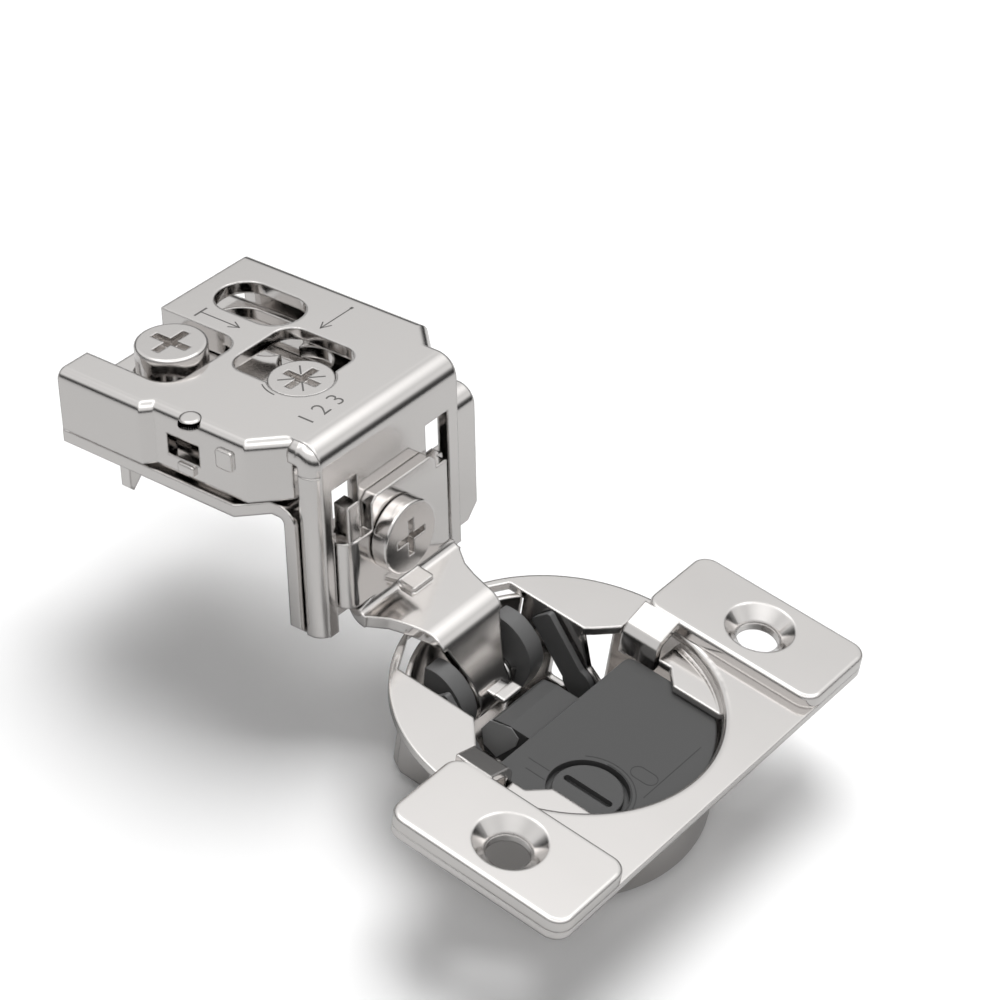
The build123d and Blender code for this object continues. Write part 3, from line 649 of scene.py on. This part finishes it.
@dataclass
class Studio:
    """Floor, light and the camera of the photograph."""

    azimuth: float = 32.2818
    elevation: float = 39.9348
    roll: float = -8.998
    shift_mm: tuple[float, float, float] = (7.0890, 21.6453, 338.4485)
    focal_px: float = 3160.67
    image_px: float = 1000.0
    sensor_mm: float = 36.0
    clip: tuple[float, float] = (0.01, 20.0)
    floor_z: float = -12.9
    floor_tone: float = 0.95
    floor_mirrored: float = 0.58
    floor_half: float = 3.0
    floor_fade: tuple[float, float] = (0.1, 0.24)
    lamps: tuple[Softbox, ...] = (Softbox("key_light", (-0.16, 0.24, 0.6), (0.46, 0.46), 5.0),
                                  Softbox("front_light", (0.29, -0.45, 0.45), (0.3, 0.3), 1.3))
    fill: float = 0.18
    glow: float = 2.5
    bands: tuple[tuple[float, float], ...] = (
        (0.0, 0.02), (0.2, 0.03), (0.31, 0.14), (0.39, 0.34), (0.5, 0.37), (0.64, 0.33),
        (0.73, 0.46), (0.79, 0.6), (0.84, 1.0), (0.91, 1.0), (0.94, 0.5), (1.0, 0.4))

    def camera(self) -> None:
        """Set up the camera from the fitted view."""
        around, up, roll = (math.radians(angle) for angle in (self.azimuth, self.elevation, self.roll))
        ahead = -Vector((math.sin(around) * math.cos(up), -math.cos(around) * math.cos(up), math.sin(up)))
        right = ahead.cross(Vector((0, 0, 1))).normalized()
        down = ahead.cross(right)
        row_right = right * math.cos(roll) + down * math.sin(roll)
        row_down = down * math.cos(roll) - right * math.sin(roll)
        turn = Matrix((row_right, row_down, ahead))
        place = -(turn.transposed() @ Vector(self.shift_mm)) * MM
        data = bpy.data.cameras.new("photo_camera")
        data.sensor_width = self.sensor_mm
        data.lens = self.focal_px / self.image_px * self.sensor_mm
        data.clip_start, data.clip_end = self.clip
        view = bpy.data.objects.new("photo_camera", data)
        bpy.context.scene.collection.objects.link(view)
        axes = Matrix((row_right, -row_down, -ahead)).transposed()
        view.matrix_world = Matrix.Translation(place) @ axes.to_4x4()
        bpy.context.scene.camera = view

    def world(self) -> None:
        """Show white to the camera, a studio's bands to the metal, and give little fill light."""
        world = bpy.data.worlds.new("studio")
        world.use_nodes = True
        bpy.context.scene.world = world
        tree = world.node_tree
        tree.nodes.clear()
        kit = ShaderKit(tree)
        out = kit.add("ShaderNodeOutputWorld")
        place = kit.add("ShaderNodeTexCoord")
        parts = kit.add("ShaderNodeSeparateXYZ")
        kit.link(place.outputs["Generated"], parts.inputs[0])
        ramp = kit.add("ShaderNodeValToRGB")
        stops = ramp.color_ramp.elements
        # A new ramp has two stops, at 0 and at 1: they take the lowest and the highest band.
        stops[0].color = (*grey(self.bands[0][1]), 1.0)
        stops[1].color = (*grey(self.bands[-1][1]), 1.0)
        for height, tone in self.bands[1:-1]:
            stops.new(height).color = (*grey(tone), 1.0)
        kit.link(parts.outputs["Z"], ramp.inputs["Fac"])
        mirrored = kit.add("ShaderNodeBackground", Strength=self.glow)
        kit.link(ramp.outputs["Color"], mirrored.inputs["Color"])
        fill = kit.add("ShaderNodeBackground", Color=WHITE, Strength=self.fill)
        white = kit.add("ShaderNodeBackground", Color=WHITE, Strength=1.0)
        rays = kit.add("ShaderNodeLightPath")
        glossy = kit.add("ShaderNodeMixShader")
        kit.link(rays.outputs["Is Glossy Ray"], glossy.inputs["Fac"])
        kit.link(fill.outputs[0], glossy.inputs[1])
        kit.link(mirrored.outputs[0], glossy.inputs[2])
        seen = kit.add("ShaderNodeMixShader")
        kit.link(rays.outputs["Is Camera Ray"], seen.inputs["Fac"])
        kit.link(glossy.outputs[0], seen.inputs[1])
        kit.link(white.outputs[0], seen.inputs[2])
        kit.link(seen.outputs[0], out.inputs["Surface"])

    def floor(self) -> None:
        """Lay the pale floor below the hinge."""
        mesh = bpy.data.meshes.new("floor")
        shape = bmesh.new()
        bmesh.ops.create_grid(shape, x_segments=1, y_segments=1, size=self.floor_half)
        bmesh.ops.translate(shape, verts=shape.verts, vec=(0, 0, self.floor_z * MM))
        shape.to_mesh(mesh)
        shape.free()
        floor = bpy.data.objects.new("floor", mesh)
        bpy.context.scene.collection.objects.link(floor)
        mesh.materials.append(self.floor_paint())

    def floor_paint(self) -> bpy.types.Material:
        """Mix the floor's paint: pale near the hinge, darker in the metal, and white to the camera far away.

        Returns:
            The material.
        """
        material = bpy.data.materials.new("floor_paint")
        material.use_nodes = True
        tree = material.node_tree
        shader = tree.nodes["Principled BSDF"]
        kit = ShaderKit(tree)
        rays = kit.add("ShaderNodeLightPath")
        tone = kit.add("ShaderNodeMix", data_type="RGBA")
        tone.inputs[6].default_value = (*grey(self.floor_tone), 1.0)
        tone.inputs[7].default_value = (*grey(self.floor_mirrored), 1.0)
        kit.link(rays.outputs["Is Glossy Ray"], tone.inputs["Factor"])
        kit.link(tone.outputs[2], shader.inputs["Base Color"])
        place = kit.add("ShaderNodeTexCoord")
        reach = kit.add("ShaderNodeVectorMath", operation="LENGTH")
        kit.link(place.outputs["Object"], reach.inputs[0])
        fade = kit.add("ShaderNodeMapRange", interpolation_type="SMOOTHSTEP")
        fade.inputs["From Min"].default_value, fade.inputs["From Max"].default_value = self.floor_fade
        kit.link(reach.outputs["Value"], fade.inputs["Value"])
        seen = kit.add("ShaderNodeMath", operation="MULTIPLY")
        kit.link(fade.outputs["Result"], seen.inputs[0])
        kit.link(rays.outputs["Is Camera Ray"], seen.inputs[1])
        shader.inputs["Emission Color"].default_value = WHITE
        kit.link(seen.outputs[0], shader.inputs["Emission Strength"])
        shader.inputs["Roughness"].default_value = 0.8
        shader.inputs["Specular IOR Level"].default_value = 0.0
        return material

    def build(self) -> None:
        """Set up the whole studio."""
        self.camera()
        self.world()
        self.floor()
        for lamp in self.lamps:
            lamp.hang()
        bpy.context.scene.view_settings.view_transform = "Standard"


def main() -> None:
    """Build the hinge's looks and the studio around it."""
    logging.basicConfig(level=logging.INFO, format="%(message)s")
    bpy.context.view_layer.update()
    finishes = Finishes()
    finishes.dress_nodes()
    for assembly in (TopPlateMarks, HeightCamStar, CoverMarks, BracketStuds, FoldCorners, PlungerPaintedLight, EyeTab):
        assembly(finishes).build()
    Studio().build()


if __name__ == "__main__":
    main()
